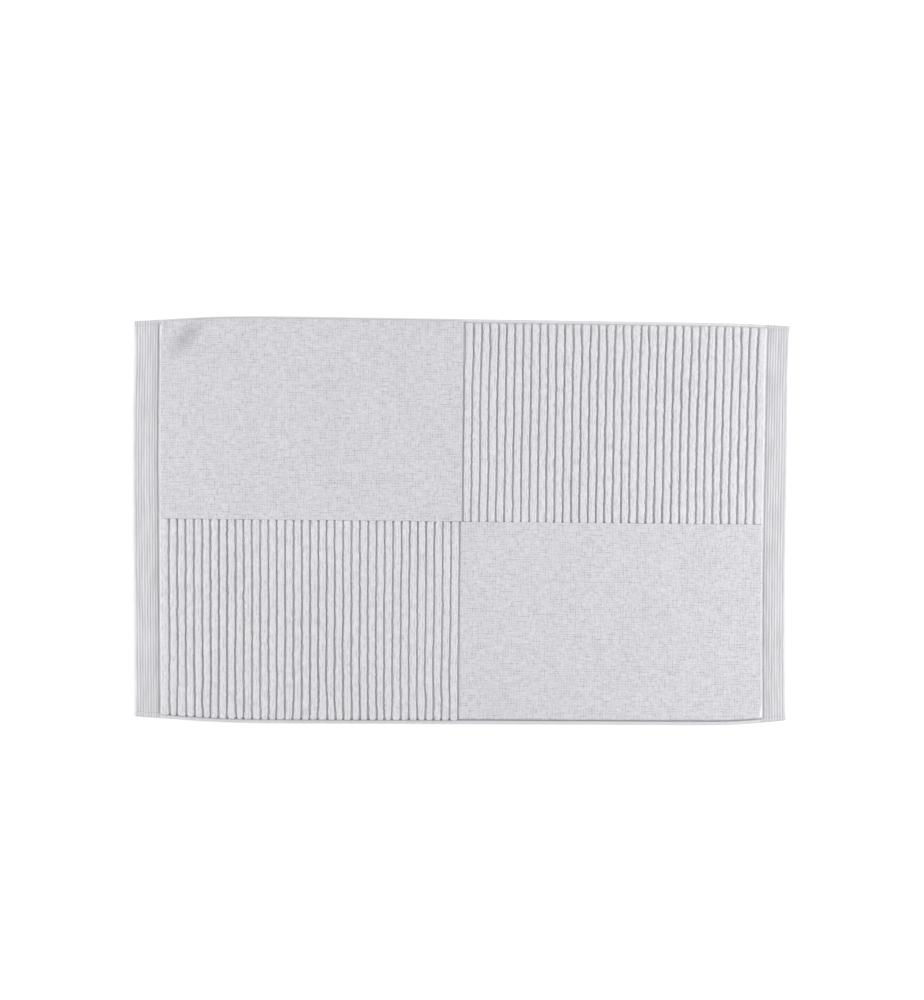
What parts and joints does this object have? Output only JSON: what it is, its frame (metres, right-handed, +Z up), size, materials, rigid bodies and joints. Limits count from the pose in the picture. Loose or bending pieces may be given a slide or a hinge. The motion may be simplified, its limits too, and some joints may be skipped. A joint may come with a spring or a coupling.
{
  "type": "bath mat",
  "caption": "Rectangular woven terry bath mat with smooth and ribbed pile blocks in a checkerboard, flat corded end borders and narrow stitched side hems.",
  "frame": {"origin": "on the floor, under the middle of the mat", "axes": "+Z up through the pile, +X along the mat's length towards the right border, +Y towards the back side hem; the ribs run along Y"},
  "size_m": [0.8, 0.5, 0.0072],
  "materials": {
    "terry_pile": "matte looped cotton terry, very light cool grey",
    "ground_weave": "matte plain-woven cotton, very light cool grey",
    "border_weave": "matte flat cotton weave with fine lengthwise cords",
    "sewing_thread": "matte spun sewing thread, matched to the cloth"
  },
  "bodies": {
    "root": {"ground_cloth": "ground_weave", "reverse_pile": "terry_pile", "smooth_pile_back_left": "terry_pile", "smooth_pile_front_right": "terry_pile", "rib_pile_front_left": "terry_pile", "rib_pile_back_right": "terry_pile", "left_border_band": "border_weave", "left_border_band_turn_in": "border_weave", "left_border_band_needle_thread": "sewing_thread", "left_border_band_bobbin_thread": "sewing_thread", "right_border_band": "border_weave", "right_border_band_turn_in": "border_weave", "right_border_band_needle_thread": "sewing_thread", "right_border_band_bobbin_thread": "sewing_thread", "front_side_hem": "ground_weave", "front_side_hem_turn_in": "ground_weave", "front_side_hem_needle_thread": "sewing_thread", "front_side_hem_bobbin_thread": "sewing_thread", "back_side_hem": "ground_weave", "back_side_hem_turn_in": "ground_weave", "back_side_hem_needle_thread": "sewing_thread", "back_side_hem_bobbin_thread": "sewing_thread"}
  },
  "joints": []
}
